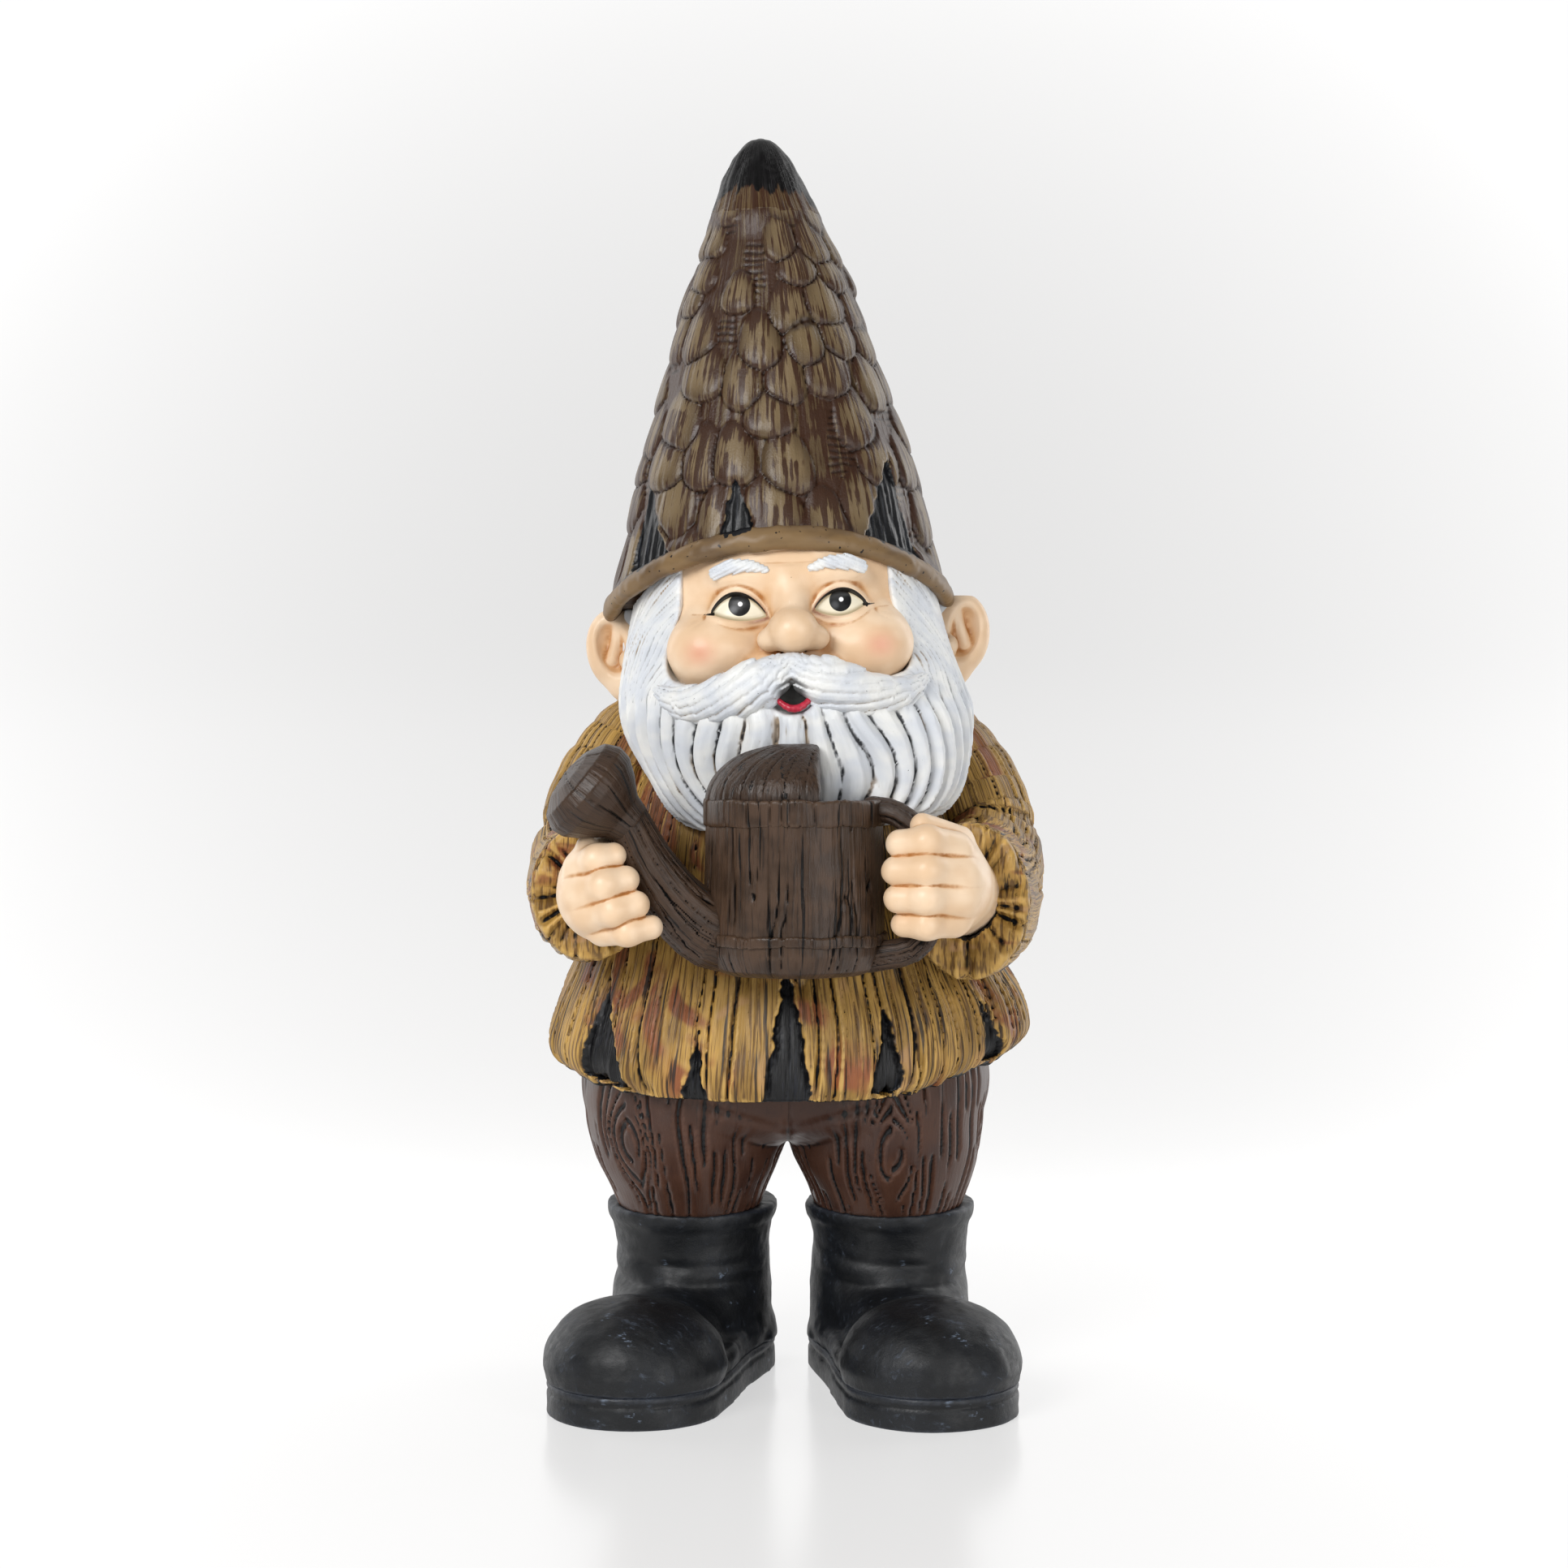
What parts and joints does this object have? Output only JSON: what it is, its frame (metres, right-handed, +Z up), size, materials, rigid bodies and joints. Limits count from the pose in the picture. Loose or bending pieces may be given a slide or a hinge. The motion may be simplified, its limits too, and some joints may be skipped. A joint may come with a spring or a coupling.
{
  "type": "garden gnome",
  "caption": "Standing garden gnome in a tall carved hat and bark-textured jacket, holding a watering can with both hands.",
  "frame": {"origin": "floor level, in the middle of the footprint of the whole figure", "axes": "+Z up towards the tip of the hat, -Y the way the gnome faces, +X towards the gnome's own left"},
  "size_m": [0.1784, 0.167, 0.43],
  "materials": {
    "hat_paint": "satin",
    "hat_tip_paint": "satin",
    "brim_paint": "satin",
    "skin_paint": "satin",
    "hair_paint": "matte",
    "lip_paint": "satin",
    "jacket_paint": "satin",
    "trouser_paint": "satin",
    "can_paint": "satin",
    "boot_paint": "satin"
  },
  "bodies": {
    "root": {"hat_body": "hat_paint", "hat_tip": "hat_tip_paint", "hat_brim": "brim_paint", "head": "skin_paint", "moustache": "hair_paint", "lower_lip": "lip_paint", "beard": "hair_paint", "back_hair": "hair_paint", "jacket": "jacket_paint", "trousers": "trouser_paint", "can_body": "can_paint", "can_upper_hoop": "can_paint", "can_lower_hoop": "can_paint", "can_hood": "can_paint", "can_spout": "can_paint", "can_rose": "can_paint", "can_handle": "can_paint", "left_ear": "skin_paint", "left_brow": "hair_paint", "left_sleeve": "jacket_paint", "left_hand": "skin_paint", "left_boot": "boot_paint", "left_sole": "boot_paint", "right_ear": "skin_paint", "right_brow": "hair_paint", "right_sleeve": "jacket_paint", "right_hand": "skin_paint", "right_boot": "boot_paint", "right_sole": "boot_paint"}
  },
  "joints": []
}
